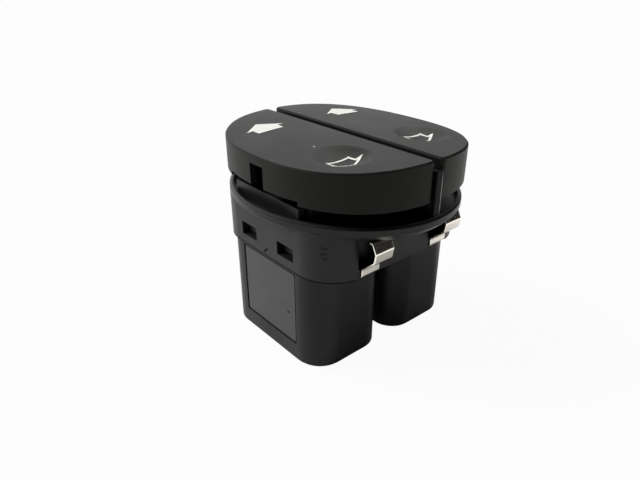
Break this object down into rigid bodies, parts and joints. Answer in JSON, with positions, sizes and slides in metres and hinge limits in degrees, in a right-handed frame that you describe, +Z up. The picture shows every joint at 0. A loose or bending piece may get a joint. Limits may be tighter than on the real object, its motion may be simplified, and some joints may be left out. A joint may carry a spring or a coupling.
{
  "type": "power window switch",
  "caption": "Twin power window switch: spring-centred rockers on an oval flange, snap-in spring clips and a base with connector sockets.",
  "frame": {"origin": "middle of the face that the base stands on", "axes": "+Z up through the rockers, +Y towards the ends with the filled arrows, -Y towards the finger dimples, -X towards the side with the framed bare area"},
  "size_m": [0.0422, 0.048, 0.04],
  "materials": {
    "rocker_plastic": "fine matt texture",
    "housing_plastic": "satin moulded",
    "base_plastic": "satin moulded",
    "clip_steel": "bright plated",
    "spring_wire": "drawn wire",
    "carriage_plastic": "natural acetal",
    "contact_copper": "bright copper alloy",
    "terminal_brass": "tinned brass"
  },
  "bodies": {
    "root": {"housing": "housing_plastic", "base": "base_plastic", "left_front_clip": "clip_steel", "left_rear_clip": "clip_steel", "right_front_clip": "clip_steel", "right_rear_clip": "clip_steel", "left_front_spring": "spring_wire", "left_rear_spring": "spring_wire", "right_front_spring": "spring_wire", "right_rear_spring": "spring_wire", "left_front_ground_terminal": "terminal_brass", "left_front_motor_terminal": "terminal_brass", "left_rear_ground_terminal": "terminal_brass", "left_rear_motor_terminal": "terminal_brass", "left_supply_terminal": "terminal_brass", "right_front_ground_terminal": "terminal_brass", "right_front_motor_terminal": "terminal_brass", "right_rear_ground_terminal": "terminal_brass", "right_rear_motor_terminal": "terminal_brass", "right_supply_terminal": "terminal_brass"},
    "left_rocker": {"left_rocker": "rocker_plastic"},
    "left_carriage": {"left_carriage": "carriage_plastic", "left_front_wiper": "contact_copper", "left_rear_wiper": "contact_copper"},
    "right_rocker": {"right_rocker": "rocker_plastic"},
    "right_carriage": {"right_carriage": "carriage_plastic", "right_front_wiper": "contact_copper", "right_rear_wiper": "contact_copper"}
  },
  "joints": [
    {"name": "left_rocker_tilt", "type": "hinge", "parent": "root", "child": "left_rocker", "pos_m": [-0.00996, 0, 0.0346], "axis": [1, 0, 0], "range_deg": [-5.5, 5.5], "stiffness_Nm_per_rad": 0.75, "deforming": ["left_front_spring", "left_rear_spring"]},
    {"name": "left_carriage_slide", "type": "slide", "parent": "root", "child": "left_carriage", "axis": [0, 1, 0], "range_m": [-0.0009, 0.0009]},
    {"name": "right_rocker_tilt", "type": "hinge", "parent": "root", "child": "right_rocker", "pos_m": [0.00996, 0, 0.0346], "axis": [1, 0, 0], "range_deg": [-5.5, 5.5], "stiffness_Nm_per_rad": 0.75, "deforming": ["right_front_spring", "right_rear_spring"]},
    {"name": "right_carriage_slide", "type": "slide", "parent": "root", "child": "right_carriage", "axis": [0, 1, 0], "range_m": [-0.0009, 0.0009]}
  ],
  "couplings": [
    {"joint": "left_carriage_slide", "follows": "left_rocker_tilt", "m_per_rad": 0.0090045},
    {"joint": "right_carriage_slide", "follows": "right_rocker_tilt", "m_per_rad": 0.0090045}
  ]
}
